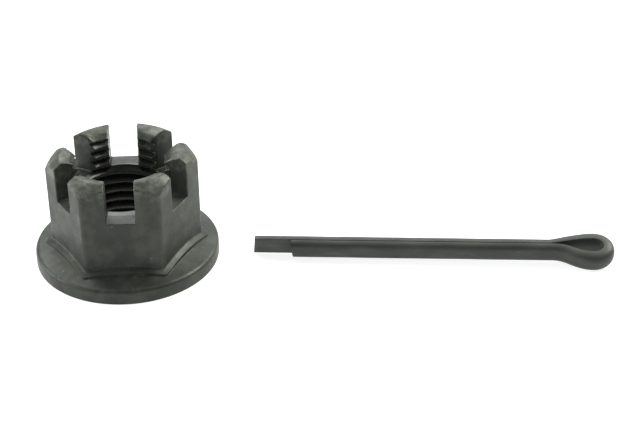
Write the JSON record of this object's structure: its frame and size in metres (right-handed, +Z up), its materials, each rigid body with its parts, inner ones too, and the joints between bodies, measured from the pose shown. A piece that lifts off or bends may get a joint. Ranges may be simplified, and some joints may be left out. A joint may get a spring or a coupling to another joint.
{
  "type": "slotted flange nut with split pin",
  "caption": "Castle nut with a flange and a threaded bore, and the split pin that locks it, lying beside it; the pin's two legs bend open.",
  "frame": {"origin": "middle of the bounding box, on the surface that the nut and the pin lie on", "axes": "+Z up along the nut's thread axis, out of its slotted end; +X from the nut towards the pin's eye; two flats and two slots of the nut face +Y and -Y"},
  "size_m": [0.0835, 0.0266, 0.017],
  "materials": {
    "castle_nut": "satin dark phosphate over forged and machined steel",
    "pin_eye": "dull dark oxide on drawn half-round wire",
    "pin_short_leg": "dull dark oxide on drawn half-round wire",
    "pin_long_leg": "dull dark oxide on drawn half-round wire"
  },
  "bodies": {
    "nut": {"castle_nut": "castle_nut"},
    "pin": {"pin_eye": "pin_eye"},
    "short_leg": {"pin_short_leg": "pin_short_leg"},
    "long_leg": {"pin_long_leg": "pin_long_leg"}
  },
  "joints": [
    {"name": "pin_draw", "type": "slide", "parent": "nut", "child": "pin", "axis": [0.9934, -0.1149, 0], "range_m": [-0.004, 0.048]},
    {"name": "short_leg_bend", "type": "hinge", "parent": "pin", "child": "short_leg", "pos_m": [0.01371, -0.00623, 0.00184], "axis": [0, 0, 1], "range_deg": [0, 90]},
    {"name": "long_leg_bend", "type": "hinge", "parent": "pin", "child": "long_leg", "pos_m": [0.01405, -0.00328, 0.00184], "axis": [0, 0, -1], "range_deg": [0, 90]}
  ]
}
